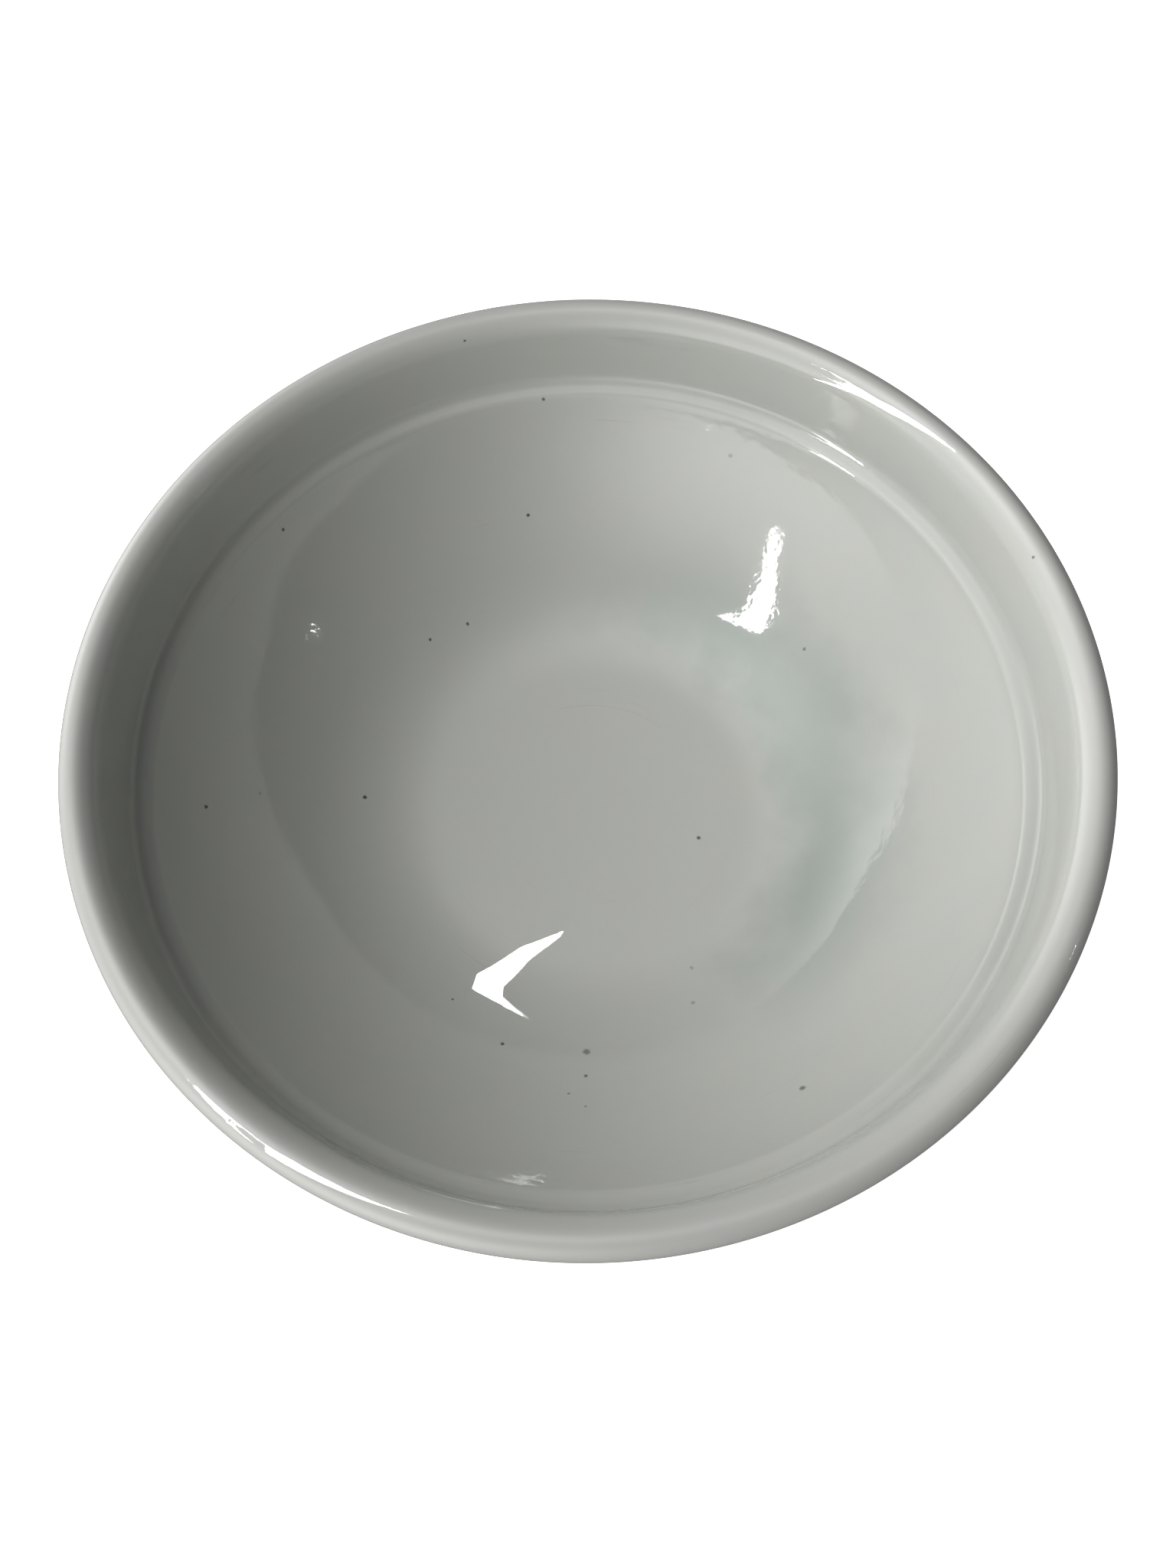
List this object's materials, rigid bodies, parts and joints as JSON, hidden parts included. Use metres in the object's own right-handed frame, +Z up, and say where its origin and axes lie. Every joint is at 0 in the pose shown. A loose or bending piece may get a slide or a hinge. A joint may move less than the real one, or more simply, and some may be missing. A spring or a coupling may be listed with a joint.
{
  "type": "shaving bowl",
  "caption": "Round glazed white porcelain lather bowl with a rounded lip, a steep inner collar over a small ledge, a flat well and a bare foot ring.",
  "frame": {"origin": "centre of the foot ring, on the plane that the bowl stands on", "axes": "+Z up along the bowl's turning axis; X and Y are equal, because the bowl is round"},
  "size_m": [0.14, 0.14, 0.05],
  "materials": {
    "fired_clay": "bare vitrified porcelain, dry and slightly rough, seen only on the foot ring",
    "white_glaze": "glossy clear glaze over white clay, faint blue-green where it is thick, a few small dark specks"
  },
  "bodies": {
    "root": {"porcelain_body": "fired_clay", "glaze_coat": "white_glaze", "base_glaze": "white_glaze"}
  },
  "joints": []
}
